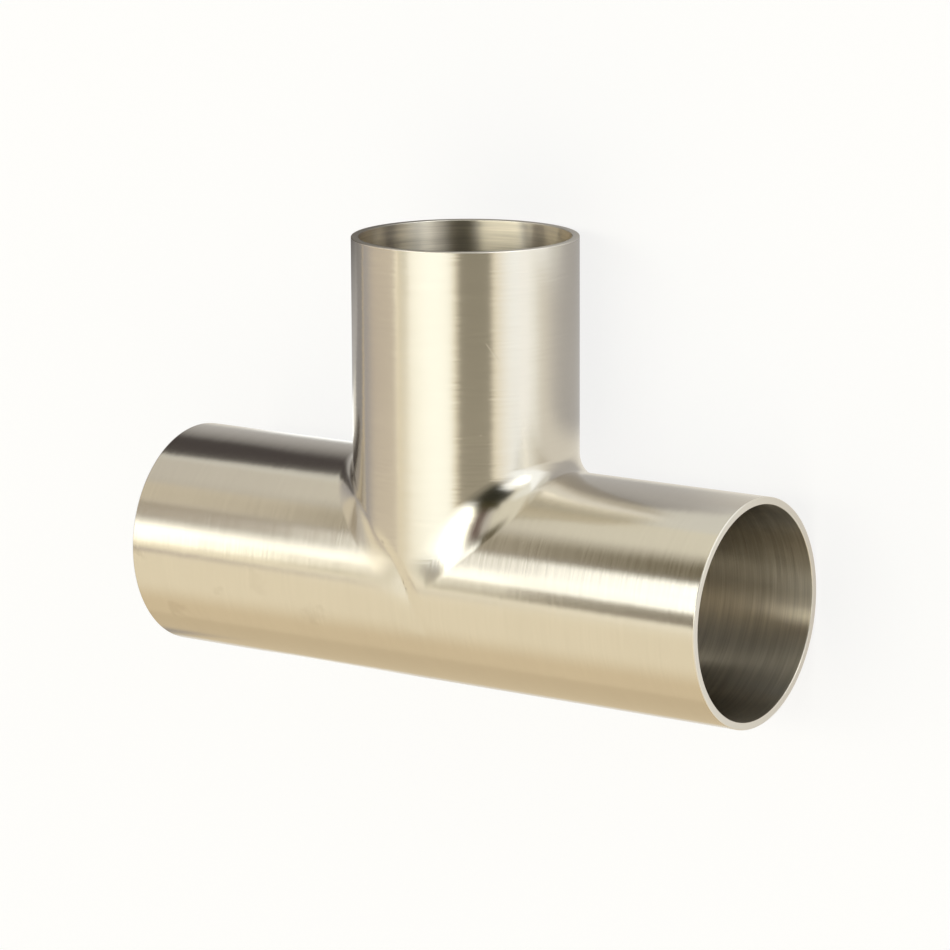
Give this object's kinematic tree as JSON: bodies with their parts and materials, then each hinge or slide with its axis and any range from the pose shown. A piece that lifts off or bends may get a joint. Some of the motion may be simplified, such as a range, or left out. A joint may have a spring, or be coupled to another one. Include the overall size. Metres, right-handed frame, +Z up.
{
  "type": "long weld tee",
  "caption": "Equal tee of thin satin stainless tube with long straight legs, a close crotch blend and square ends for butt welding.",
  "frame": {"origin": "where the centreline of the run and the centreline of the branch cross", "axes": "+X along the run, +Y along the branch towards its open end, +Z up with the tee lying on its side"},
  "size_m": [0.1524, 0.1016, 0.0508],
  "materials": {
    "stainless": "satin, brushed around each leg, inside and out"
  },
  "bodies": {
    "root": {"tee_body": "stainless"}
  },
  "joints": []
}
